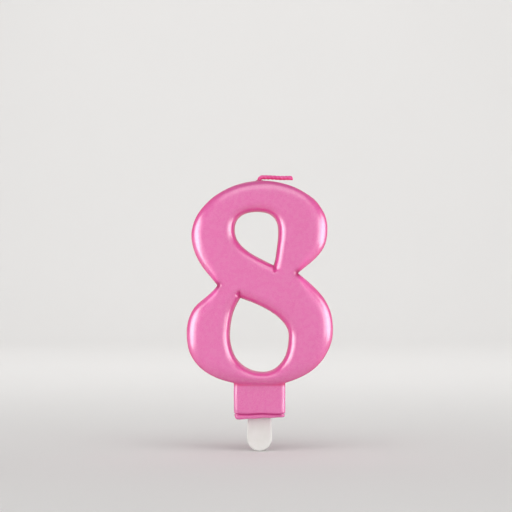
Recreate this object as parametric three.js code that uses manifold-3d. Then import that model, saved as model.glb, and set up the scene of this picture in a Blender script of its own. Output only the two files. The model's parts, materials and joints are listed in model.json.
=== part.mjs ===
// Number birthday candle: a moulded wax figure 8 on a short plinth, its cotton wick, and the flat plastic
// pick that holds it in a cake. Millimetres, +Z up, the front looks along -Y. The origin is the middle of
// the plinth's underside, which rests on the icing; the pick's blade goes down into the cake below it.
import * as THREE from "three";
import { mergeVertices } from "three/addons/utils/BufferGeometryUtils.js";
import Module from "manifold-3d";

// Clearance between pieces that touch.
const GAP = 0.3;

// Plinth: the block under the figure. Its root reaches up into the figure.
const PLINTH_WIDTH = 19;
const PLINTH_DEPTH = 9.2;
const PLINTH_HEIGHT = 12;
const PLINTH_ROOT = 3;
const PLINTH_CORNER_RADIUS = 1.3;
const PLINTH_LOWER_BEVEL = 1;

// Figure: a wall of even depth, rounded over to both faces along every edge by a quarter ellipse.
const FIGURE_HALF_DEPTH = 7;
const FIGURE_WALL_HALF_DEPTH = 3;
const OUTER_ROUNDING = 5.5;
const COUNTER_ROUNDING = 4;

// Wick: cast in along the figure's S stroke, and folded flat over the top where it comes out.
const WICK_RADIUS = 0.85;
const WICK_FOLD_HEIGHT = 88.9;
const WICK_FREE_LENGTH = 12.3;
const WICK_END_BEVEL = 0.2;
const WICK_DROOP = THREE.MathUtils.degToRad(1.5);

// Pick: a blade that shows below the plinth, and a barbed tang inside it.
const BLADE_WIDTH = 9.2;
const BLADE_NECK_WIDTH = 8.8;
const BLADE_LENGTH = 12.3;
const BLADE_TIP_HEIGHT = 4.9;
const BLADE_THICKNESS = 2.2;
const BLADE_BEVEL = 0.4;
const SHOULDER_DEPTH = 0.6;
const TANG_WIDTH = 7.4;
const TANG_LENGTH = 11;
const TANG_THICKNESS = 1.4;
const TANG_LEAD_IN = 1.2;
const TANG_ROOT = 1;
const BARB_COUNT = 3;
const BARB_DEPTH = 0.7;
const BARB_LAND = 1.1;

// Fineness of the facets.
const CURVE_STEPS = 13;
const ROUNDING_STEPS = 6;
const BEVEL_STEPS = 3;
const PLINTH_CORNER_STEPS = 4;
const CORNER_FAN_STEP = THREE.MathUtils.degToRad(15);
const CUTTER_OVERSHOOT = 0.4;
const WICK_SIDES = 8;
const WICK_STEPS = 56;
const WICK_ROOT_STEPS = 4;
const MERGE_DISTANCE = 1e-4;

// Where the wick runs inside the wax, from the pick's socket up to the fold, as [x, z].
const WICK_ROUTE = [
  [0, TANG_LENGTH],
  [0.4, 13.2],
  [3.5, 14.8],
  [13, 19],
  [18.8, 31],
  [12.5, 42.5],
  [0, 50.5],
  [-13, 59.5],
  [-17, 69.5],
  [-11.5, 78.5],
  [-3, 82.2],
  [0, 85.2],
  [0, WICK_FOLD_HEIGHT],
];

const wasm = await Module();
wasm.setup();

const materials = {
  wax: new THREE.MeshStandardMaterial({ color: 0xe070ae, roughness: 0.3, metalness: 0.25 }),
  wick: new THREE.MeshStandardMaterial({ color: 0xe0609f, roughness: 0.75, metalness: 0 }),
  plastic: new THREE.MeshStandardMaterial({ color: 0xe9e6e1, roughness: 0.45, metalness: 0 }),
};

// ---- outlines, drawn in x and z ----

// Every outline has the wax on its left.
function figureOutline() {
  const outline = new THREE.Shape();
  outline.moveTo(-15.5, 49);
  outline.bezierCurveTo(-20.2, 42.5, -26.8, 42.4, -26.8, 30.5);
  outline.bezierCurveTo(-26.8, 16.4, -12.8, PLINTH_HEIGHT, 0.5, PLINTH_HEIGHT);
  outline.bezierCurveTo(14.7, PLINTH_HEIGHT, 27, 19.5, 27, 33);
  outline.bezierCurveTo(27, 42.7, 22, 46.7, 14.2, 53.5);
  outline.bezierCurveTo(20, 58.5, 25, 61, 25, 70);
  outline.bezierCurveTo(25, 80.5, 13, 87.5, 1, 87.5);
  outline.bezierCurveTo(-12.5, 87.5, -25, 78, -25, 67.5);
  outline.bezierCurveTo(-25, 60, -20.3, 54.7, -15.5, 49);
  return outline;
}

function upperCounterOutline() {
  const outline = new THREE.Path();
  outline.moveTo(5.3, 56.3);
  outline.bezierCurveTo(-2.9, 60, -9.3, 63.6, -9.3, 69.4);
  outline.bezierCurveTo(-9.3, 74.2, -5.5, 76.2, -1, 76.2);
  outline.bezierCurveTo(3.8, 76.2, 7, 74, 7, 69);
  outline.bezierCurveTo(7, 65, 6.2, 60, 5.3, 56.3);
  return outline;
}

function lowerCounterOutline() {
  const outline = new THREE.Path();
  outline.moveTo(-7.1, 44.4);
  outline.bezierCurveTo(1.6, 41.5, 10.9, 36.7, 10.9, 30.2);
  outline.bezierCurveTo(10.9, 23.2, 7.8, 16.9, 1.3, 16.9);
  outline.bezierCurveTo(-6.5, 16.9, -11, 22.9, -11, 30.5);
  outline.bezierCurveTo(-11, 36.5, -9.3, 41.3, -7.1, 44.4);
  return outline;
}

function roundedRectangle(width, depth, radius) {
  const x = width / 2 - radius;
  const y = depth / 2 - radius;
  const outline = new THREE.Shape();
  outline.absarc(x, y, radius, 0, Math.PI / 2);
  outline.absarc(-x, y, radius, Math.PI / 2, Math.PI);
  outline.absarc(-x, -y, radius, Math.PI, 1.5 * Math.PI);
  outline.absarc(x, -y, radius, 1.5 * Math.PI, 2 * Math.PI);
  return outline;
}

// The points of a closed outline, without the last one, which repeats the first.
function loopPoints(outline) {
  return outline.getPoints(CURVE_STEPS).slice(0, -1);
}

// ---- solids ----

// A closed mesh as a solid, with its shared vertices merged and its collapsed triangles dropped.
function toSolid(geometry) {
  const bare = geometry.clone();
  bare.deleteAttribute("normal");
  bare.deleteAttribute("uv");
  const merged = mergeVertices(bare, MERGE_DISTANCE);
  const index = merged.index.array;
  const triangles = [];
  for (let i = 0; i < index.length; i += 3) {
    const [a, b, c] = index.subarray(i, i + 3);
    if (a !== b && b !== c && c !== a) triangles.push(a, b, c);
  }
  const vertProperties = merged.attributes.position.array;
  const triVerts = new Uint32Array(triangles);
  return new wasm.Manifold(new wasm.Mesh({ numProp: 3, vertProperties, triVerts }));
}

function toGeometry(solid) {
  const { vertProperties, triVerts } = solid.getMesh();
  const geometry = new THREE.BufferGeometry();
  geometry.setAttribute("position", new THREE.BufferAttribute(vertProperties, 3));
  geometry.setIndex(new THREE.BufferAttribute(triVerts, 1));
  const faceted = geometry.toNonIndexed();
  faceted.computeVertexNormals();
  return faceted;
}

function namedMesh(name, geometry, material) {
  const mesh = new THREE.Mesh(geometry, material);
  mesh.name = name;
  return mesh;
}

// A shape drawn in x and z, extruded evenly to both sides of y = 0.
function plate(shape, thickness, bevel = 0) {
  const geometry = new THREE.ExtrudeGeometry(shape, {
    depth: thickness - 2 * bevel,
    curveSegments: CURVE_STEPS,
    bevelEnabled: bevel > 0,
    bevelThickness: bevel,
    bevelSize: bevel,
    bevelOffset: -bevel,
    bevelSegments: BEVEL_STEPS,
  });
  geometry.translate(0, 0, bevel - thickness / 2);
  geometry.rotateX(Math.PI / 2);
  return geometry;
}

// Where the round-over cutter stands along an outline: each place's direction into the wax, and the point
// just outside the wax. A corner gets a fan of directions around one outside point.
function cutterPlaces(outline) {
  const points = loopPoints(outline);
  const inwardAfter = (i) => {
    const from = points[i % points.length];
    const to = points[(i + 1) % points.length];
    return Math.atan2(to.y - from.y, to.x - from.x) + Math.PI / 2;
  };
  return points.flatMap((point, i) => {
    const before = inwardAfter(i + points.length - 1);
    const change = inwardAfter(i) - before;
    const turn = Math.atan2(Math.sin(change), Math.cos(change));
    const middle = before + turn / 2;
    const reach = CUTTER_OVERSHOOT / Math.cos(turn / 2);
    const outside = [point.x - Math.cos(middle) * reach, point.y - Math.sin(middle) * reach];
    const fan = Math.floor(Math.abs(turn) / CORNER_FAN_STEP);
    if (fan === 0) return [{ point, outside, inward: middle }];
    const spread = Array.from({ length: fan + 1 }, (_, k) => before + (turn * k) / fan);
    return spread.map((inward) => ({ point, outside, inward }));
  });
}

// What a round-over cutter takes off the back face along an outline: a ring with a quarter-ellipse hollow.
function roundOver(outline, radius) {
  const rim = FIGURE_HALF_DEPTH + CUTTER_OVERSHOOT;
  const profile = [];
  for (let k = 0; k <= ROUNDING_STEPS; k++) {
    const t = (k / ROUNDING_STEPS) * (Math.PI / 2);
    const rise = (FIGURE_HALF_DEPTH - FIGURE_WALL_HALF_DEPTH) * Math.sin(t);
    profile.push([radius * (1 - Math.cos(t)), FIGURE_WALL_HALF_DEPTH + rise]);
  }
  profile.push([radius, rim]);
  const rings = cutterPlaces(outline).map(({ point, outside, inward }) => {
    const [x, z] = [Math.cos(inward), Math.sin(inward)];
    return [
      ...profile.map(([inset, y]) => [point.x + x * inset, y, point.y + z * inset]),
      [outside[0], rim, outside[1]],
      [outside[0], FIGURE_WALL_HALF_DEPTH, outside[1]],
    ];
  });
  const positions = [];
  rings.forEach((ring, i) => {
    const next = rings[(i + 1) % rings.length];
    ring.forEach((corner, k) => {
      const l = (k + 1) % ring.length;
      positions.push(...corner, ...next[k], ...next[l], ...corner, ...next[l], ...ring[l]);
    });
  });
  const geometry = new THREE.BufferGeometry();
  geometry.setAttribute("position", new THREE.Float32BufferAttribute(positions, 3));
  return toSolid(geometry);
}

function figureSolid() {
  const shape = figureOutline();
  shape.holes = [upperCounterOutline(), lowerCounterOutline()];
  const edges = [
    [figureOutline(), OUTER_ROUNDING],
    [upperCounterOutline(), COUNTER_ROUNDING],
    [lowerCounterOutline(), COUNTER_ROUNDING],
  ];
  let figure = toSolid(plate(shape, 2 * FIGURE_HALF_DEPTH));
  for (const [outline, radius] of edges) {
    const waste = roundOver(outline, radius);
    figure = figure.subtract(waste).subtract(waste.mirror([0, 1, 0]));
  }
  return figure;
}

function plinthSolid() {
  const footprint = roundedRectangle(PLINTH_WIDTH, PLINTH_DEPTH, PLINTH_CORNER_RADIUS);
  const geometry = new THREE.ExtrudeGeometry(footprint, {
    depth: PLINTH_HEIGHT + PLINTH_ROOT - 2 * PLINTH_LOWER_BEVEL,
    curveSegments: PLINTH_CORNER_STEPS,
    bevelThickness: PLINTH_LOWER_BEVEL,
    bevelSize: PLINTH_LOWER_BEVEL,
    bevelOffset: -PLINTH_LOWER_BEVEL,
    bevelSegments: BEVEL_STEPS,
  });
  geometry.translate(0, 0, PLINTH_LOWER_BEVEL);
  return toSolid(geometry);
}

// A box-shaped pocket in the plinth's underside, with clearance round a piece of this width and thickness.
function pocket(width, thickness, depth) {
  const box = new THREE.BoxGeometry(width + 2 * GAP, thickness + 2 * GAP, depth + GAP);
  box.translate(0, 0, (depth - GAP) / 2);
  return toSolid(box);
}

// The blind slot that the pick's tang goes up into, and the shallow seat of the blade's shoulder.
function pickSocket() {
  const slot = pocket(TANG_WIDTH, TANG_THICKNESS, TANG_LENGTH + GAP);
  return slot.add(pocket(BLADE_NECK_WIDTH, BLADE_THICKNESS, SHOULDER_DEPTH));
}

// A round bar along a smooth route of [x, z] points.
function wickBar(route, radius) {
  const points = route.map(([x, z]) => new THREE.Vector3(x, 0, z));
  const section = new THREE.Shape();
  for (let k = 0; k < WICK_SIDES; k++) {
    const angle = (k / WICK_SIDES) * 2 * Math.PI;
    if (k === 0) section.moveTo(radius, 0);
    else section.lineTo(radius * Math.cos(angle), radius * Math.sin(angle));
  }
  return new THREE.ExtrudeGeometry(section, {
    steps: WICK_STEPS,
    extrudePath: new THREE.CatmullRomCurve3(points, false, "centripetal"),
    bevelEnabled: false,
  });
}

function bladeOutline() {
  const tipCentre = BLADE_TIP_HEIGHT - BLADE_LENGTH;
  const outline = new THREE.Shape();
  outline.moveTo(BLADE_NECK_WIDTH / 2, SHOULDER_DEPTH - GAP);
  outline.lineTo(-BLADE_NECK_WIDTH / 2, SHOULDER_DEPTH - GAP);
  outline.absellipse(0, tipCentre, BLADE_WIDTH / 2, BLADE_TIP_HEIGHT, Math.PI, 2 * Math.PI);
  return outline;
}

// Each barb slopes out towards the blade and ends in a short land, so that the tang goes in easily and grips.
function tangOutline() {
  const half = TANG_WIDTH / 2;
  const pitch = (TANG_LENGTH - TANG_LEAD_IN) / BARB_COUNT;
  const edge = [[half - BARB_DEPTH, TANG_LENGTH]];
  for (let k = BARB_COUNT - 1; k >= 0; k--) {
    const foot = k * pitch;
    edge.push([half - BARB_DEPTH, foot + pitch], [half, foot + BARB_LAND], [half, foot]);
  }
  edge.push([half, -TANG_ROOT]);
  const outline = new THREE.Shape();
  outline.moveTo(-half + BARB_DEPTH, TANG_LENGTH);
  edge.forEach(([x, z]) => outline.lineTo(x, z));
  edge.slice(1).reverse().forEach(([x, z]) => outline.lineTo(-x, z));
  return outline;
}

// ---- sub-parts ----

function waxNumeral() {
  const channel = toSolid(wickBar(WICK_ROUTE, WICK_RADIUS + GAP));
  const wax = figureSolid().add(plinthSolid()).subtract(pickSocket()).subtract(channel);
  return namedMesh("wax_numeral", toGeometry(wax), materials.wax);
}

// The embedded wick stops short of the tang's slot below, and of the free end's fold above.
function wickCore() {
  const [foot, ...rest] = WICK_ROUTE;
  const [x, z] = rest.pop();
  const route = [[foot[0], foot[1] + 2 * GAP], ...rest, [x, z - WICK_RADIUS - GAP]];
  return namedMesh("wick_core", wickBar(route, WICK_RADIUS), materials.wick);
}

// The free end turns about the middle of its round root, and lies along +X over the top of the figure.
function wickTip() {
  const profile = [];
  for (let k = 0; k <= WICK_ROOT_STEPS; k++) {
    const angle = (k / WICK_ROOT_STEPS) * (Math.PI / 2);
    profile.push(new THREE.Vector2(WICK_RADIUS * Math.sin(angle), -WICK_RADIUS * Math.cos(angle)));
  }
  profile.push(new THREE.Vector2(WICK_RADIUS, WICK_FREE_LENGTH - WICK_END_BEVEL));
  profile.push(new THREE.Vector2(WICK_RADIUS - WICK_END_BEVEL, WICK_FREE_LENGTH));
  profile.push(new THREE.Vector2(0, WICK_FREE_LENGTH));
  const tip = namedMesh("wick_tip", new THREE.LatheGeometry(profile, WICK_SIDES), materials.wick);
  tip.position.set(0, 0, WICK_FOLD_HEIGHT);
  tip.rotation.set(0, WICK_DROOP, -Math.PI / 2);
  return tip;
}

function holderPick() {
  const blade = toSolid(plate(bladeOutline(), BLADE_THICKNESS, BLADE_BEVEL));
  const tang = toSolid(plate(tangOutline(), TANG_THICKNESS));
  return namedMesh("holder_pick", toGeometry(blade.add(tang)), materials.plastic);
}

// ---- assembly ----

const candle = new THREE.Group();
candle.add(waxNumeral(), wickCore(), wickTip());

const candleAndHolder = new THREE.Group();
candleAndHolder.add(candle, holderPick());

export default candleAndHolder;
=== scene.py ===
"""Looks of the number birthday candle: a moulded wax figure 8 with a pink pearl lacquer, its plaited wick
and the white plastic pick that holds it.

Sculpting is in millimetres, in the CAD model's frame: +Z up, front to -Y. Each solid is a signed distance,
meshed by a surface net whose vertices are then pulled onto the true surface."""
import json
import math

import bpy
import numpy as np
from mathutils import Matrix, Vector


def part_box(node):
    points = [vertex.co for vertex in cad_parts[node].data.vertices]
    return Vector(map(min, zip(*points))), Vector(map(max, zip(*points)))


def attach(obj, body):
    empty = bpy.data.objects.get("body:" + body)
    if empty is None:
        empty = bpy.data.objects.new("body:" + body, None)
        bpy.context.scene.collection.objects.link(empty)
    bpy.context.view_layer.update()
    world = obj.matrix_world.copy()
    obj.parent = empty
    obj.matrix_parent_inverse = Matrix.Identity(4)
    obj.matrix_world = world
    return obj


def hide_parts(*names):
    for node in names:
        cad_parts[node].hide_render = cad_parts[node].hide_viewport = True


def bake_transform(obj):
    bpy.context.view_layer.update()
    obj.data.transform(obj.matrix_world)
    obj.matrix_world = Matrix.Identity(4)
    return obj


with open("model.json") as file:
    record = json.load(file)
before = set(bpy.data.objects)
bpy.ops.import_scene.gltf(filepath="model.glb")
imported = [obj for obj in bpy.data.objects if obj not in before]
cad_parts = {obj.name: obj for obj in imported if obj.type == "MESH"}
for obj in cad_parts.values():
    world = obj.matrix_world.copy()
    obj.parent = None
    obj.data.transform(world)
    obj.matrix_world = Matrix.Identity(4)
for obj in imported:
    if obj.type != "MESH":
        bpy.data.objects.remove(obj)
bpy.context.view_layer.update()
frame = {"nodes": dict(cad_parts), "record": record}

MM = 0.001
JOINTS = {joint["name"]: joint for joint in frame["record"]["behaviour"]["joints"]}


def box_mm(node):
    low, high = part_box(node)
    return np.array(low) / MM, np.array(high) / MM


WAX_LOW, WAX_HIGH = box_mm("wax_numeral")
PICK_LOW, PICK_HIGH = box_mm("holder_pick")
CORE_LOW, CORE_HIGH = box_mm("wick_core")
TIP_LOW, TIP_HIGH = box_mm("wick_tip")

# Figure: a wall of even depth, rounded over to each face by a quarter ellipse.
FIGURE_WALL = 3.0
FIGURE_RISE = WAX_HIGH[1] - FIGURE_WALL
OUTER_ROUNDING = 5.5
COUNTER_ROUNDING = 4.0
RIDGE_SOFTNESS = 0.22
CREASE_SOFTNESS = 0.05
SEAM_HEIGHT = 0.12
SEAM_HALF_WIDTH = 0.35
WAVE_HEIGHT = 0.012
WAVE_LENGTHS = (5.0, 14.0)
WAVE_COUNT = 14
WAVE_SEED = 8
SHEET_MARGIN = 3

# Plinth: the block under the figure, with an uneven rounded lip under a fold line.
PLINTH_HALF_WIDTH = 9.5
PLINTH_HALF_DEPTH = 4.6
PLINTH_TOP = 15.0
PLINTH_CORNER = 1.9
PLINTH_FOOT_ROUNDING = 0.9
PLINTH_SLANT = 0.05
FOLD_HEIGHT = 1.5
FOLD_DEPTH = 0.65
FOLD_HALF_WIDTH = 0.32
FOLD_SWAY = 0.12
SECOND_FOLD_START = 2
SECOND_FOLD_SLOPE = 0.14
SECOND_FOLD_DEPTH = 0.16
SECOND_FOLD_HALF_WIDTH = 0.22
LIP_LEFT_TAPER = 0.45
LIP_RIGHT_TAPER = 0.1
LIP_FRONT_TAPER = 0.12
FOOT_DROP = 0.03
FOOT_RIPPLE = 0.06
JUNCTION_SOFTNESS = 0.3

# The low collar of wax where the wick comes out.
COLLAR_RADIUS = 1.05
COLLAR_FLARE = 0.9
COLLAR_RISE = 0.55
COLLAR_MIDDLE = -0.3
COLLAR_HALF_HEIGHT = 0.75
COLLAR_SOFTNESS = 0.35
BORE_TIGHTENING = 0.22

# Pick and its socket.
CLEARANCE = 0.3
SEAT_CLEARANCE = 0.12
TANG_HALF_WIDTH = 3.7
TANG_HALF_DEPTH = 0.7
TANG_TOP = PICK_HIGH[2]
TANG_LEAD_IN = 1.2
BARB_COUNT = 3
BARB_DEPTH = 0.7
BARB_LAND = 1.1
BLADE_HALF_WIDTH = PICK_HIGH[0]
BLADE_NECK_HALF_WIDTH = 4.4
BLADE_HALF_DEPTH = PICK_HIGH[1]
BLADE_END_HEIGHT = 4.9
BLADE_TOP = 0.3
BLADE_EDGE = 0.5
BLADE_SINK = 0.07
TANG_EDGE = 0.15
TANG_FOOT = -1
EJECT_RING_HEIGHT = -6.2
EJECT_RING_RADIUS = 1.6
EJECT_RING_HALF_WIDTH = 0.16
EJECT_RING_DEPTH = 0.16

# Wick.
WICK_RADIUS = CORE_HIGH[1]
FOLD_POINT = np.array(JOINTS["wick_bend"]["pos_m"]) / MM
WICK_BEND_RADIUS = 0.95
WICK_DROOP = math.radians(1.5)
STRAND_RADIUS = 0.56
STRAND_SWING = (0.24, 0.2)
STRAND_SOFTNESS = 0.22
STRAND_TAPER = 0.25
# How much of the wick each strand runs along, and how far its end stands off to one side.
STRAND_ENDS = ((1.0, 0.16), (0.992, 0.05), (0.985, -0.14))
PLAIT_PITCH = 4.4
WICK_START_DEPTH = 2.6
WICK_END_ALLOWANCE = 0.3
WICK_WAVE = 0.05
FRAY_LENGTH = 1.6

# The wick's route inside the wax, as x and z: the same points as in the CAD model.
WICK_ROUTE = [
    (0, 11), (0.4, 13.2), (3.5, 14.8), (13, 19), (18.8, 31), (12.5, 42.5), (0, 50.5),
    (-13, 59.5), (-17, 69.5), (-11.5, 78.5), (-3, 82.2), (0, 85.2), (0, 88.9),
]

# The figure's outlines, as in the CAD model: a start point, then the two handles and the end of each curve.
OUTER_OUTLINE = [
    (-15.5, 49),
    (-20.2, 42.5), (-26.8, 42.4), (-26.8, 30.5),
    (-26.8, 16.4), (-12.8, 12), (0.5, 12),
    (14.7, 12), (27, 19.5), (27, 33),
    (27, 42.7), (22, 46.7), (14.2, 53.5),
    (20, 58.5), (25, 61), (25, 70),
    (25, 80.5), (13, 87.5), (1, 87.5),
    (-12.5, 87.5), (-25, 78), (-25, 67.5),
    (-25, 60), (-20.3, 54.7), (-15.5, 49),
]
UPPER_COUNTER = [
    (5.3, 56.3),
    (-2.9, 60), (-9.3, 63.6), (-9.3, 69.4),
    (-9.3, 74.2), (-5.5, 76.2), (-1, 76.2),
    (3.8, 76.2), (7, 74), (7, 69),
    (7, 65), (6.2, 60), (5.3, 56.3),
]
LOWER_COUNTER = [
    (-7.1, 44.4),
    (1.6, 41.5), (10.9, 36.7), (10.9, 30.2),
    (10.9, 23.2), (7.8, 16.9), (1.3, 16.9),
    (-6.5, 16.9), (-11, 22.9), (-11, 30.5),
    (-11, 36.5), (-9.3, 41.3), (-7.1, 44.4),
]
# Where each counter's sharp corner runs on as a crease in the face.
UPPER_CREASE = [(5.3, 56.3), (5.25, 52.9)]
LOWER_CREASE = [(-7.1, 44.4), (-7.3, 47.8)]
CREASE_STEEPNESS = 1.2
# The outline's two notches run on into the face the same way.
NOTCH_CREASES = [[(14.2, 53.5), (10.6, 53.8)], [(-15.5, 49), (-12.2, 48.7)]]
NOTCH_CREASE_START = 0.55
NOTCH_CREASE_WIDTH = 2.2
NOTCH_TIGHTNESS = 0.35
NOTCH_REACH = 11
# How far the painted shade in the notches and the fold groove, and the lacquer's dull places, reach.
NOTCH_SHADE_REACH = 1.5
NOTCH_DULLNESS = 5.5
GROOVE_SHADE_REACH = 0.42

CURVE_STEPS = 40
SHEET_STEP = 0.25
SLOPE_REACH = 0.1
WAX_CELL = 0.385
PICK_CELL = 0.22
WICK_CELL = 0.1
RELAX_PASSES = (0.5, 0.5, 0.5, 0, 0)


# ---- signed distances: negative inside the solid, in millimetres ----

def smooth_max(a, b, softness):
    overlap = np.clip(softness - np.abs(a - b), 0, None) / softness
    return np.maximum(a, b) + overlap * overlap * softness / 4


def smooth_min(a, b, softness):
    return -smooth_max(-a, -b, softness)


def rounded(a, b, radius):
    """The solid inside both a and b, with the edge between them rounded."""
    p, q = a + radius, b + radius
    return np.hypot(np.clip(p, 0, None), np.clip(q, 0, None)) + np.minimum(np.maximum(p, q), 0) - radius


def step_up(value, low, high):
    t = np.clip((value - low) / (high - low), 0, 1)
    return t * t * (3 - 2 * t)


def curve_points(outline):
    """The points along a chain of cubic curves."""
    corners = np.array(outline, float)
    t = np.linspace(0, 1, CURVE_STEPS, endpoint=False)[:, None]
    parts = []
    for i in range(0, len(corners) - 1, 3):
        a, b, c, d = corners[i:i + 4]
        parts.append((1 - t) ** 3 * a + 3 * (1 - t) ** 2 * t * b + 3 * (1 - t) * t * t * c + t ** 3 * d)
    return np.vstack([*parts, corners[-1:]])


def segments_of(path):
    path = np.asarray(path, float)
    return zip(path[:-1], path[1:])


def distance_along(points, path):
    """Each point's distance to a path, and how far along the path its nearest place is, from 0 to 1."""
    path = np.asarray(path, float)
    lengths = np.linalg.norm(np.diff(path, axis=0), axis=1)
    starts = np.concatenate([[0], np.cumsum(lengths)])
    best = np.full(len(points), np.inf)
    along = np.zeros(len(points))
    for i, (a, b) in enumerate(segments_of(path)):
        t = np.clip((points - a) @ (b - a) / max(lengths[i] ** 2, 1e-12), 0, 1)
        gap = np.linalg.norm(points - a - t[:, None] * (b - a), axis=1)
        nearer = gap < best
        best = np.where(nearer, gap, best)
        along = np.where(nearer, starts[i] + t * lengths[i], along)
    return best, along / starts[-1]


def is_within(points, loop):
    crossings = np.zeros(len(points), int)
    x, z = points.T
    for (ax, az), (bx, bz) in segments_of(loop):
        if az == bz:
            continue
        spans = (az > z) != (bz > z)
        crossings += spans & (x < ax + (z - az) * (bx - ax) / (bz - az))
    return crossings % 2 == 1


class Sheet:
    """A value over the x-z plane, kept on a fine grid and read back smoothly."""

    def __init__(self, low, high, function):
        self.low = np.array(low, float)
        counts = np.ceil((np.array(high) - self.low) / SHEET_STEP).astype(int) + 1
        grid = np.stack(np.meshgrid(*[np.arange(n) for n in counts], indexing="ij"), axis=-1)
        points = self.low + grid.reshape(-1, 2) * SHEET_STEP
        self.values = function(points).reshape(counts)

    def __call__(self, x, z):
        place = (np.stack([x, z], axis=-1) - self.low) / SHEET_STEP
        limit = np.array(self.values.shape) - 3
        base = np.clip(np.floor(place).astype(int), 1, limit)
        weights = [self.weights(np.clip(place[..., k] - base[..., k], 0, 1)) for k in range(2)]
        total = 0
        for i in range(4):
            for k in range(4):
                taken = self.values[base[..., 0] + i - 1, base[..., 1] + k - 1]
                total = total + weights[0][i] * weights[1][k] * taken
        return total

    @staticmethod
    def weights(t):
        return [
            -0.5 * t ** 3 + t ** 2 - 0.5 * t,
            1.5 * t ** 3 - 2.5 * t ** 2 + 1,
            -1.5 * t ** 3 + 2 * t ** 2 + 0.5 * t,
            0.5 * t ** 3 - 0.5 * t ** 2,
        ]


# ---- the wax figure ----

def edge_nearness(points, loop, rounding, inside):
    """1 on an outline's wall, falling to 0 where its rounding meets the flat face, and above 1 outside."""
    gap, _ = distance_along(points, loop)
    within = is_within(points, loop)
    gap = np.where(within == inside, gap, -gap)
    return 1 - gap / rounding


def crease_nearness(points, crease):
    """The same for a crease: steep towards the diagonal stroke, and rounded on its other side."""
    start, end = np.array(crease, float)
    gap, along = distance_along(points, crease)
    stroke_side = (points - start) @ (end[1] - start[1], start[0] - end[0]) > 0
    return 1 - along ** 3 - gap / np.where(stroke_side, CREASE_STEEPNESS, COUNTER_ROUNDING)


def notch_sharpness(points):
    """How much tighter the outline's rounding is close to a notch."""
    rounding = np.full(len(points), OUTER_ROUNDING)
    for tip, _ in NOTCH_CREASES:
        gap = np.hypot(*(points - tip).T)
        rounding *= NOTCH_TIGHTNESS + (1 - NOTCH_TIGHTNESS) * step_up(gap, 0, NOTCH_REACH)
    return rounding


def figure_sheet(function):
    low = (WAX_LOW[0] - SHEET_MARGIN, WAX_LOW[2] - SHEET_MARGIN)
    high = (WAX_HIGH[0] + SHEET_MARGIN, WAX_HIGH[2] + SHEET_MARGIN)
    return Sheet(low, high, function)


def relief_sheet():
    outer, upper, lower = (curve_points(o) for o in (OUTER_OUTLINE, UPPER_COUNTER, LOWER_COUNTER))

    def relief(points):
        values = edge_nearness(points, outer, notch_sharpness(points), True)
        for crease in NOTCH_CREASES:
            gap, along = distance_along(points, crease)
            values = np.maximum(values, NOTCH_CREASE_START * (1 - along) - gap / NOTCH_CREASE_WIDTH)
        for loop, crease in ((upper, UPPER_CREASE), (lower, LOWER_CREASE)):
            near = edge_nearness(points, loop, COUNTER_ROUNDING, False)
            near = smooth_max(near, crease_nearness(points, crease), CREASE_SOFTNESS)
            values = smooth_max(values, near, RIDGE_SOFTNESS)
        return values

    return figure_sheet(relief)


def hand_poured_waves():
    """Low waves over the whole surface, as cast wax has."""
    draw = np.random.default_rng(WAVE_SEED)
    ways = draw.normal(size=(WAVE_COUNT, 3))
    ways /= np.linalg.norm(ways, axis=1)[:, None]
    numbers = 2 * math.pi / draw.uniform(*WAVE_LENGTHS, size=WAVE_COUNT)
    phases = draw.uniform(0, 2 * math.pi, size=WAVE_COUNT)

    def waves(p):
        total = 0
        for way, number, phase in zip(ways, numbers, phases):
            total = total + np.sin(p @ way * number + phase)
        return total * WAVE_HEIGHT

    return waves


def fold_line(x):
    """The height of the fold in the plinth's foot."""
    return FOLD_HEIGHT + FOLD_SWAY * np.sin(x * 0.55 + 1.2)


def plinth_distance(p):
    """The block, with a fold near its foot, a second fold that parts from it on the left, and a lip."""
    x, y, z = p.T
    below_fold = FOLD_HEIGHT - z
    side_taper = np.where(x < 0, LIP_LEFT_TAPER, LIP_RIGHT_TAPER) * step_up(below_fold, 0, 1.4)
    front_taper = LIP_FRONT_TAPER * step_up(below_fold, 0, 1)
    second_fold = FOLD_HEIGHT + SECOND_FOLD_SLOPE * np.clip(-x - SECOND_FOLD_START, 0, None)
    second_groove = SECOND_FOLD_DEPTH * np.exp(-((z - second_fold) / SECOND_FOLD_HALF_WIDTH) ** 2)
    groove = FOLD_DEPTH * np.exp(-((z - fold_line(x)) / FOLD_HALF_WIDTH) ** 2)
    groove += step_up(-x, 3, 6) * second_groove
    across = rounded(
        np.abs(x) - PLINTH_HALF_WIDTH + side_taper + groove,
        np.abs(y) - PLINTH_HALF_DEPTH + front_taper + groove,
        PLINTH_CORNER,
    )
    foot = PLINTH_SLANT * x - FOOT_DROP + FOOT_RIPPLE * np.sin(x * 1.1) - z
    return np.maximum(rounded(across, foot, PLINTH_FOOT_ROUNDING), z - PLINTH_TOP)


def socket_distance(p):
    x, y, z = p.T
    tang = np.maximum(np.abs(x) - TANG_HALF_WIDTH - CLEARANCE, np.abs(y) - TANG_HALF_DEPTH - CLEARANCE)
    tang = np.maximum(tang, z - TANG_TOP - CLEARANCE)
    seat_half_width = BLADE_NECK_HALF_WIDTH + SEAT_CLEARANCE
    seat_half_depth = BLADE_HALF_DEPTH + SEAT_CLEARANCE
    seat = np.maximum(np.abs(x) - seat_half_width, np.abs(y) - seat_half_depth)
    seat = np.maximum(seat, z - BLADE_TOP - CLEARANCE)
    return np.minimum(tang, seat)


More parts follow.
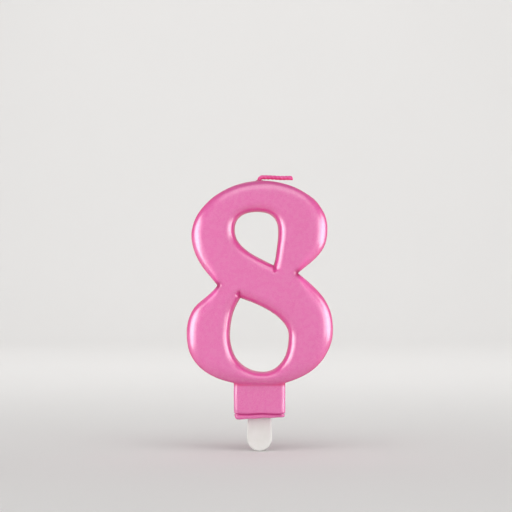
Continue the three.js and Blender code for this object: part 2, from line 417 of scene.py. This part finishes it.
def smooth_route(points, steps=12):
    """A smooth path through the points, the same centripetal curve that the CAD model's wick follows."""
    p = np.array(points, float)
    p = np.vstack([2 * p[0] - p[1], p, 2 * p[-1] - p[-2]])
    knots = np.concatenate([[0], np.cumsum(np.sqrt(np.linalg.norm(np.diff(p, axis=0), axis=1)))])
    path = []
    for i in range(1, len(p) - 2):
        k0, k1, k2, k3 = knots[i - 1:i + 3]
        t = np.linspace(k1, k2, steps, endpoint=False)[:, None]
        a1 = ((k1 - t) * p[i - 1] + (t - k0) * p[i]) / (k1 - k0)
        a2 = ((k2 - t) * p[i] + (t - k1) * p[i + 1]) / (k2 - k1)
        a3 = ((k3 - t) * p[i + 1] + (t - k2) * p[i + 2]) / (k3 - k2)
        b1 = ((k2 - t) * a1 + (t - k0) * a2) / (k2 - k0)
        b2 = ((k3 - t) * a2 + (t - k1) * a3) / (k3 - k1)
        path.append(((k2 - t) * b1 + (t - k1) * b2) / (k2 - k1))
    return np.vstack([*path, p[-2:-1]])


def collar_distance(x, y, height):
    """A little wax that stands up round the wick; height is measured from the figure's top."""
    flare = COLLAR_FLARE * np.clip((COLLAR_RISE - height) / 0.9, 0, 1) ** 2
    return np.maximum(
        np.hypot(x, y) - COLLAR_RADIUS - flare,
        np.abs(height - COLLAR_MIDDLE) - COLLAR_HALF_HEIGHT,
    )


def wax_distance():
    """The whole casting's signed distance, and its relief over the x-z plane."""
    relief = relief_sheet()
    waves = hand_poured_waves()
    route = smooth_route(WICK_ROUTE)
    to_route = figure_sheet(lambda points: distance_along(points, route)[0])
    surface_top = WAX_HIGH[2]

    def distance(p):
        x, y, z = p.T
        near = np.clip(relief(x, z), 0, None)
        seam = SEAM_HEIGHT * np.exp(-(y / SEAM_HALF_WIDTH) ** 2)
        rise = np.clip((np.abs(y) - FIGURE_WALL) / FIGURE_RISE, 0, None)
        figure = (np.hypot(near, rise) - 1) * FIGURE_RISE - seam
        solid = smooth_min(figure, plinth_distance(p), JUNCTION_SOFTNESS)
        solid = solid + waves(p)
        solid = smooth_min(solid, collar_distance(x, y, z - surface_top), COLLAR_SOFTNESS)
        solid = np.maximum(solid, -socket_distance(p))
        bore = WICK_RADIUS + CLEARANCE - BORE_TIGHTENING * step_up(z - surface_top, -2, -1)
        return np.maximum(solid, bore - np.hypot(to_route(x, z), y))

    return distance, relief


# ---- the pick ----

def tang_half_width(z):
    """Half the tang's width: each barb slopes in towards its own foot, and the lead-in is plain."""
    pitch = (TANG_TOP - TANG_LEAD_IN) / BARB_COUNT
    up = np.clip(z, 0, TANG_TOP - TANG_LEAD_IN - 1e-6) % pitch
    spread = 1 - np.clip((up - BARB_LAND) / (pitch - BARB_LAND), 0, 1)
    return TANG_HALF_WIDTH - BARB_DEPTH * (1 - np.where(z < TANG_TOP - TANG_LEAD_IN, spread, 0))


def pick_distance(p):
    x, y, z = p.T
    end_centre = PICK_LOW[2] + BLADE_END_HEIGHT
    neck = step_up(z, end_centre, 0)
    width = BLADE_HALF_WIDTH + (BLADE_NECK_HALF_WIDTH - BLADE_HALF_WIDTH) * neck
    straight = np.abs(x) - width
    round_end = (np.hypot(x / BLADE_HALF_WIDTH, (z - end_centre) / BLADE_END_HEIGHT) - 1) * BLADE_END_HEIGHT
    outline = np.where(z < end_centre, round_end, np.maximum(straight, z - BLADE_TOP))
    # The broad sides fall in by a hair between their rims, as a thick moulding sinks when it cools.
    sink = BLADE_SINK * step_up(-outline, 0.8, 2.2)
    blade = rounded(outline, np.abs(y) - BLADE_HALF_DEPTH + sink, BLADE_EDGE)
    # The ejector's ring is in the back only.
    ring = np.abs(np.hypot(x, z - EJECT_RING_HEIGHT) - EJECT_RING_RADIUS) - EJECT_RING_HALF_WIDTH
    ring = np.maximum(ring, BLADE_HALF_DEPTH - EJECT_RING_DEPTH - y)
    blade = np.maximum(blade, -ring)
    tang = np.maximum(np.maximum(z - TANG_TOP, TANG_FOOT - z), np.abs(x) - tang_half_width(z))
    tang = rounded(tang, np.abs(y) - TANG_HALF_DEPTH, TANG_EDGE)
    return smooth_min(blade, tang, TANG_EDGE)


# ---- the plaited wick ----

def wick_centreline():
    """From inside the wax, up, over a tight bend at the fold, and along the top to the free end."""
    radius = WICK_BEND_RADIUS
    top = FOLD_POINT[2]
    rise = [(0, z) for z in np.linspace(top - WICK_START_DEPTH, top - radius, 8, endpoint=False)]
    turns = np.linspace(math.pi, math.pi / 2, 12)
    bend = [(radius + radius * math.cos(a), top - radius + radius * math.sin(a)) for a in turns]
    reach = TIP_HIGH[0] - radius - WICK_END_ALLOWANCE
    lie = [
        (radius + s, top - math.tan(WICK_DROOP) * s + WICK_WAVE * math.sin(s * 0.7))
        for s in np.linspace(0, reach, 60)[1:]
    ]
    path = np.array(rise + bend + lie)
    return np.stack([path[:, 0], np.zeros(len(path)), path[:, 1]], axis=1)


def strand_paths():
    """Three strands that each swing from side to side twice while they swing up and down once."""
    centre = wick_centreline()
    ahead = np.gradient(centre, axis=0)
    ahead /= np.linalg.norm(ahead, axis=1)[:, None]
    across = np.array([0.0, 1.0, 0.0])
    over = np.cross(across, ahead)
    length = np.concatenate([[0], np.cumsum(np.linalg.norm(np.diff(centre, axis=0), axis=1))])
    fray = step_up(length, length[-1] - FRAY_LENGTH, length[-1])
    strands = []
    for k, (ending, splay) in enumerate(STRAND_ENDS):
        turn = 2 * math.pi * (length / PLAIT_PITCH + k / 3)
        up = STRAND_SWING[0] * np.sin(turn) + splay * fray
        side = STRAND_SWING[1] * np.sin(2 * turn) * (1 - 0.5 * fray)
        path = centre + up[:, None] * over + side[:, None] * across
        strands.append(path[: int(len(path) * ending)])
    return strands


def wick_distance():
    strands = strand_paths()

    def distance(p):
        total = None
        for path in strands:
            gap, along = distance_along(p, path)
            strand = gap - STRAND_RADIUS * (1 - STRAND_TAPER * step_up(along, 0.95, 1.0))
            total = strand if total is None else smooth_min(total, strand, STRAND_SOFTNESS)
        return total

    return distance


# ---- meshes ----

def surface_net(values):
    """Vertices and quads of the zero surface of a block of values, in grid steps."""
    shape = np.array(values.shape) - 1
    total = np.zeros((*shape, 3))
    count = np.zeros(shape)
    inside = values < 0
    quads = []
    for axis in range(3):
        others = [k for k in range(3) if k != axis]
        lower = [slice(None)] * 3
        upper = [slice(None)] * 3
        lower[axis], upper[axis] = slice(None, -1), slice(1, None)
        a, b = values[tuple(lower)], values[tuple(upper)]
        crossed = inside[tuple(lower)] != inside[tuple(upper)]
        share = np.where(crossed, a / np.where(crossed, a - b, 1), 0)
        for i in range(2):
            for k in range(2):
                part = [slice(None)] * 3
                part[others[0]] = slice(i, i + shape[others[0]])
                part[others[1]] = slice(k, k + shape[others[1]])
                hit = crossed[tuple(part)]
                count += hit
                total[..., axis] += share[tuple(part)]
                total[..., others[0]] += hit * i
                total[..., others[1]] += hit * k
        place = np.argwhere(crossed)
        solid_below = inside[tuple(place.T)]
        corners = []
        for i, k in ((0, 0), (-1, 0), (-1, -1), (0, -1)):
            corner = place.copy()
            corner[:, others[0]] += i
            corner[:, others[1]] += k
            corners.append(np.ravel_multi_index(tuple(corner.T), tuple(shape)))
        ring = np.stack(corners, axis=1)
        flip = solid_below if axis == 1 else ~solid_below
        ring[flip] = ring[flip][:, ::-1]
        quads.append(ring)
    used = np.flatnonzero(count.ravel())
    number = np.full(count.size, -1)
    number[used] = np.arange(len(used))
    cell = np.stack(np.unravel_index(used, tuple(shape)), axis=1)
    vertices = cell + total.reshape(-1, 3)[used] / count.ravel()[used][:, None]
    return vertices, number[np.vstack(quads)]


def slope(points, distance, reach):
    """The gradient of a signed distance, by differences."""
    columns = []
    for axis in range(3):
        offset = np.zeros(3)
        offset[axis] = reach
        columns.append((distance(points + offset) - distance(points - offset)) / (2 * reach))
    return np.stack(columns, axis=1)


def settle(points, quads, distance, cell):
    """Evens the vertices out and pulls them onto the true surface."""
    for relax in RELAX_PASSES:
        if relax:
            total = np.zeros_like(points)
            count = np.zeros(len(points))
            for a, b in ((0, 1), (1, 2), (2, 3), (3, 0)):
                for here, there in ((quads[:, a], quads[:, b]), (quads[:, b], quads[:, a])):
                    np.add.at(total, here, points[there])
                    np.add.at(count, here, 1)
            points = points + relax * (total / count[:, None] - points)
        gradient = slope(points, distance, cell / 6)
        size = np.clip((gradient ** 2).sum(axis=1), 0.05, None)
        move = -(distance(points) / size)[:, None] * gradient
        length = np.linalg.norm(move, axis=1)
        points = points + move * np.minimum(1, 0.5 * cell / np.maximum(length, 1e-9))[:, None]
    return points


def sculpt(name, distance, low, high, cell):
    """A closed smooth mesh of a signed distance, as a new object."""
    axes = [np.arange(a - 1.5 * cell, b + 2.5 * cell, cell) for a, b in zip(low, high)]
    layers = []
    y, z = np.meshgrid(axes[1], axes[2], indexing="ij")
    for x in axes[0]:
        points = np.stack([np.full(y.size, x), y.ravel(), z.ravel()], axis=1)
        layers.append(distance(points).reshape(y.shape))
    vertices, quads = surface_net(np.stack(layers))
    origin = np.array([axis[0] for axis in axes])
    vertices = settle(origin + vertices * cell, quads, distance, cell)
    mesh = bpy.data.meshes.new(name)
    mesh.from_pydata((vertices * MM).tolist(), [], quads.tolist())
    mesh.validate()
    mesh.shade_smooth()
    made = bpy.data.objects.new(name, mesh)
    bpy.context.collection.objects.link(made)
    return made, vertices


def store(made, name, values):
    """Keeps a value at each vertex for the material to read."""
    attribute = made.data.attributes.new(name, "FLOAT", "POINT")
    attribute.data.foreach_set("value", np.asarray(values, np.float32))


# ---- materials ----

class Graph:
    """A short way to write a material's nodes."""

    def __init__(self, name):
        self.material = bpy.data.materials.new(name)
        self.material.use_nodes = True
        self.tree = self.material.node_tree
        self.shader = next(n for n in self.tree.nodes if n.type == "BSDF_PRINCIPLED")
        self.place = self.node("ShaderNodeTexCoord").outputs["Object"]

    def node(self, kind, **settings):
        made = self.tree.nodes.new(kind)
        for key, value in settings.items():
            setattr(made, key, value)
        return made

    def link(self, source, target):
        self.tree.links.new(source, target)

    def put(self, **values):
        for key, value in values.items():
            self.shader.inputs[key.replace("_", " ")].default_value = value

    def noise(self, size_mm, detail=2.0, stretch=None):
        made = self.node("ShaderNodeTexNoise")
        made.inputs["Scale"].default_value = 1 / (size_mm * MM)
        made.inputs["Detail"].default_value = detail
        place = self.place
        if stretch:
            mapping = self.node("ShaderNodeMapping")
            mapping.inputs["Scale"].default_value = stretch
            self.link(place, mapping.inputs["Vector"])
            place = mapping.outputs["Vector"]
        self.link(place, made.inputs["Vector"])
        return made.outputs["Fac"]

    def attribute(self, name):
        return self.node("ShaderNodeAttribute", attribute_name=name).outputs["Fac"]

    def span(self, source, low, high, to_low, to_high):
        made = self.node("ShaderNodeMapRange")
        for key, value in zip(("From Min", "From Max", "To Min", "To Max"), (low, high, to_low, to_high)):
            made.inputs[key].default_value = value
        self.link(source, made.inputs["Value"])
        return made.outputs["Result"]

    def blend(self, factor, low, high, mode="MIX"):
        made = self.node("ShaderNodeMix", data_type="RGBA", blend_type=mode)
        self.link(factor, made.inputs["Factor"])
        for socket, value in ((made.inputs[6], low), (made.inputs[7], high)):
            if isinstance(value, tuple):
                socket.default_value = (*value, 1)
            else:
                self.link(value, socket)
        return made.outputs[2]

    def bump(self, *heights):
        """heights: each a source, its strength and the height of its full swing in millimetres."""
        normal = None
        for source, strength, height in heights:
            made = self.node("ShaderNodeBump")
            made.inputs["Strength"].default_value = strength
            made.inputs["Distance"].default_value = height * MM
            self.link(source, made.inputs["Height"])
            if normal:
                self.link(normal, made.inputs["Normal"])
            normal = made.outputs["Normal"]
        self.link(normal, self.shader.inputs["Normal"])


def pearl_wax():
    """Pink pearl lacquer on wax with fine flakes beneath a clear gloss, and painted shade: deeper magenta
    on the walls and down-facing slopes, near-black magenta in the notches and the fold groove.
    """
    graph = Graph("pearl_wax")
    cloud = graph.span(graph.noise(9, 3), 0.35, 0.65, 0, 1)
    flake = graph.span(graph.noise(0.25, 1), 0.3, 0.7, 0, 1)
    mottle = graph.span(graph.noise(1.5, 3), 0.4, 0.62, 0, 0.3)
    face = graph.blend(cloud, (0.78, 0.03, 0.335), (0.81, 0.048, 0.37))
    face = graph.blend(flake, face, (0.84, 0.085, 0.405))
    face = graph.blend(mottle, face, (0.84, 0.13, 0.44))
    # Painted shade: the wall attribute darkens the walls and down-facing slopes to a deeper magenta.
    colour = graph.blend(graph.attribute("wall"), face, (0.7, 0.016, 0.2))
    # Painted shade: near-black magenta in the notch corners and the plinth's fold groove.
    colour = graph.blend(graph.attribute("painted_crease_shade"), colour, (0.36, 0.006, 0.1))
    graph.link(colour, graph.shader.inputs["Base Color"])
    graph.link(graph.span(graph.noise(1.6, 3), 0.3, 0.7, 0.42, 0.5), graph.shader.inputs["Roughness"])
    graph.link(graph.span(graph.attribute("dull"), 0, 1, 1, 0), graph.shader.inputs["Coat Weight"])
    graph.put(Specular_IOR_Level=0.3, Coat_Roughness=0.27, Coat_IOR=2.6)
    graph.bump((graph.noise(2.2, 2), 0.35, 0.02), (graph.noise(0.3, 1), 0.12, 0.01))
    return graph.material


def waxed_cotton():
    """Pink cotton stiff with wax, with fibres along it and a painted shade on its underside."""
    graph = Graph("waxed_cotton")
    fibres = graph.noise(0.5, 4, stretch=(0.35, 2.0, 2.0))
    patches = graph.span(graph.noise(1.8, 2), 0.35, 0.65, 0, 1)
    colour = graph.blend(patches, (0.86, 0.105, 0.36), (0.92, 0.175, 0.45))
    # Painted shade: the wick's down-facing side is darker.
    colour = graph.blend(graph.attribute("painted_underside_shade"), colour, (0.84, 0.045, 0.23))
    graph.link(colour, graph.shader.inputs["Base Color"])
    graph.link(graph.span(fibres, 0.3, 0.7, 0.4, 0.65), graph.shader.inputs["Roughness"])
    graph.put(Sheen_Weight=0.12)
    graph.bump((fibres, 0.7, 0.08))
    return graph.material


def white_plastic():
    """Satin white moulded plastic, very slightly clouded."""
    graph = Graph("white_plastic")
    clouds = graph.span(graph.noise(3.5, 2), 0.3, 0.7, 0, 1)
    colour = graph.blend(clouds, (0.8, 0.795, 0.76), (0.84, 0.835, 0.81))
    graph.link(colour, graph.shader.inputs["Base Color"])
    graph.link(graph.span(graph.noise(0.6, 3), 0.3, 0.7, 0.34, 0.46), graph.shader.inputs["Roughness"])
    graph.bump((graph.noise(0.35, 3), 0.25, 0.02))
    return graph.material


def give(made, material):
    made.data.materials.clear()
    made.data.materials.append(material)


# ---- the pieces ----

def bell(distance, reach):
    """1 at no distance, falling smoothly to about a third at the reach."""
    return np.exp(-(distance / reach) ** 2)


def paint_shade_on_wax(made, vertices, distance, relief):
    """Painted shade on the walls, the down-facing slopes, the notches and the fold groove, and where the
    lacquer lacks its clear gloss.
    """
    x, y, z = vertices.T
    near = np.clip(relief(x, z), 0, 1)
    above_plinth = step_up(z, 11.5, 12.5)
    up = slope(vertices, distance, SLOPE_REACH)[:, 2]
    # Painted shade, stored as wall: deeper magenta on the walls, less on up-facing slopes, and on
    # down-facing slopes.
    edge = near ** 7 * (1 - 0.6 * step_up(up, 0.3, 0.9))
    underside = 0.35 * step_up(-up, 0.15, 0.85)
    store(made, "wall", above_plinth * np.maximum(edge, underside))

    # Painted shade in the notch corners and the fold groove; the same marks also dull the clear gloss.
    to_notch = np.min([np.hypot(x - tip[0], z - tip[1]) for tip, _ in NOTCH_CREASES], axis=0)
    corner = bell(to_notch, NOTCH_SHADE_REACH)
    on_face = step_up(np.abs(y), 3.2, 4.2) * step_up(PLINTH_HALF_WIDTH - 0.2 - np.abs(x), 0, 0.8)
    groove = on_face * bell(z - fold_line(x), GROOVE_SHADE_REACH)
    store(made, "painted_crease_shade", np.maximum(corner, 0.6 * groove))

    by_notch = 0.85 * step_up(near, 0.15, 0.55) * bell(to_notch, NOTCH_DULLNESS)
    on_wall = 0.65 * above_plinth * near ** 9
    store(made, "dull", np.max([corner, groove, by_notch, on_wall], axis=0))


def make_wax():
    distance, relief = wax_distance()
    made, vertices = sculpt("pearl_wax_figure", distance, WAX_LOW - 0.8, WAX_HIGH + (0, 0, 0.8), WAX_CELL)
    paint_shade_on_wax(made, vertices, distance, relief)
    give(made, pearl_wax())
    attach(made, "candle")
    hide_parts("wax_numeral")
    return made


def make_pick():
    made, _ = sculpt("holder_pick_moulding", pick_distance, PICK_LOW - 0.3, PICK_HIGH + 0.3, PICK_CELL)
    give(made, white_plastic())
    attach(made, "holder")
    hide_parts("holder_pick")
    return made


def make_wick():
    cotton = waxed_cotton()
    give(frame["nodes"]["wick_core"], cotton)
    low = (-1.3, -1.3, FOLD_POINT[2] - 3.2)
    high = (TIP_HIGH[0] + 0.4, 1.3, FOLD_POINT[2] + 1.3)
    distance = wick_distance()
    made, vertices = sculpt("plaited_wick", distance, low, high, WICK_CELL)
    # Painted shade on the wick's down-facing side.
    store(made, "painted_underside_shade", 0.85 * step_up(-slope(vertices, distance, SLOPE_REACH)[:, 2], -0.25, 0.35))
    give(made, cotton)
    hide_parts("wick_tip")
    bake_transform(made)
    return made


# ---- the studio ----

# The camera's view, in millimetres: its middle as x and z, its width at the candle, and its distance.
VIEW_CENTRE = (-1.3, 59.8)
VIEW_WIDTH = 189.4
CAMERA_DISTANCE = 750
SENSOR = 36
LIGHT_TARGET = np.array([0, 0, 0.05])
BACKDROP_TARGET = np.array([0, 1.3, 0.3])

# The stage, in metres.
STAGE_FRONT = -2.0
STAGE_BACK = 0.9
STAGE_SWEEP = 0.4
STAGE_SWEEP_STEPS = 16
STAGE_TOP = 1.6
STAGE_HALF_WIDTH = 2.5


def make_camera():
    data = bpy.data.cameras.new("camera")
    data.sensor_width = SENSOR
    data.lens = SENSOR * CAMERA_DISTANCE / VIEW_WIDTH
    data.clip_end = 20
    camera = bpy.data.objects.new("camera", data)
    camera.location = (VIEW_CENTRE[0] * MM, -CAMERA_DISTANCE * MM, VIEW_CENTRE[1] * MM)
    camera.rotation_euler = (math.pi / 2, 0, 0)
    bpy.context.collection.objects.link(camera)
    bpy.context.scene.camera = camera


def make_softbox(name, azimuth, elevation, distance, size, power, target=LIGHT_TARGET, lit=None):
    """A soft light that faces its target. Azimuth 0 is in front of the target, 90 to its right.

    With lit, a collection, it is an ellipse that lights only what that holds.
    """
    data = bpy.data.lights.new(name, "AREA")
    data.shape = "ELLIPSE" if lit else "RECTANGLE"
    data.size, data.size_y = size
    data.energy = power
    light = bpy.data.objects.new(name, data)
    a, e = math.radians(azimuth), math.radians(elevation)
    back = np.array([math.sin(a) * math.cos(e), -math.cos(a) * math.cos(e), math.sin(e)])
    light.location = target + back * distance
    light.rotation_euler = (math.pi / 2 - e, 0, a)
    light.visible_camera = False
    if lit:
        light.light_linking.receiver_collection = lit
    bpy.context.collection.objects.link(light)


def make_stage():
    """A pale floor that sweeps up behind the candle."""
    floor_height = PICK_LOW[2] * MM
    profile = [(STAGE_FRONT, 0.0)]
    for angle in np.linspace(0, math.pi / 2, STAGE_SWEEP_STEPS + 1):
        along = STAGE_BACK + STAGE_SWEEP * math.sin(angle)
        profile.append((along, STAGE_SWEEP * (1 - math.cos(angle))))
    profile.append((STAGE_BACK + STAGE_SWEEP, STAGE_TOP))
    ends = (-STAGE_HALF_WIDTH, STAGE_HALF_WIDTH)
    vertices = [(x, y, floor_height + z) for x in ends for y, z in profile]
    count = len(profile)
    faces = [(k, k + 1, count + k + 1, count + k) for k in range(count - 1)]
    mesh = bpy.data.meshes.new("stage_sweep")
    mesh.from_pydata(vertices, [], faces)
    mesh.shade_smooth()
    sweep_object = bpy.data.objects.new("stage_sweep", mesh)
    bpy.context.collection.objects.link(sweep_object)
    graph = Graph("stage_paper")
    tone = graph.blend(graph.noise(300, 2), (0.80, 0.79, 0.78), (0.83, 0.82, 0.81))
    graph.link(tone, graph.shader.inputs["Base Color"])
    graph.put(Roughness=0.9)
    give(sweep_object, graph.material)
    return sweep_object


def group(name, members):
    made = bpy.data.collections.new(name)
    for member in members:
        made.objects.link(member)
    return made


def make_lights(pieces, stage):
    candle = group("lit_from_the_sides", pieces)
    floor = group("lit_from_above", [stage])
    make_softbox("left_strip", -72, 4, 0.155, (0.085, 0.18), 0.118, lit=candle)
    make_softbox("right_strip", 82, 2, 0.155, (0.1, 0.16), 0.12, lit=candle)
    make_softbox("left_wash", -50, 3, 0.3, (0.14, 0.2), 0.105, lit=candle)
    make_softbox("right_wash", 54, 3, 0.3, (0.16, 0.2), 0.155, lit=candle)
    make_softbox("front_fill", 9, 16, 1.1, (1.6, 1.2), 2.38)
    make_softbox("top_fill", 6, 62, 0.9, (1.2, 0.6), 2.3)
    make_softbox("floor_wash", 0, 75, 1.0, (1.7, 1.3), 3.4, lit=floor)
    make_softbox("backdrop_wash", 0, 32, 1.0, (1.6, 0.8), 6.5, BACKDROP_TARGET)
    world = bpy.data.worlds.new("studio")
    world.use_nodes = True
    background = next(n for n in world.node_tree.nodes if n.type == "BACKGROUND")
    background.inputs["Color"].default_value = (1, 0.99, 0.98, 1)
    background.inputs["Strength"].default_value = 0.3
    bpy.context.scene.world = world
    bpy.context.scene.view_settings.view_transform = "Standard"


make_camera()
pieces = [make_wax(), make_pick(), make_wick()]
stage = make_stage()
make_lights(pieces, stage)
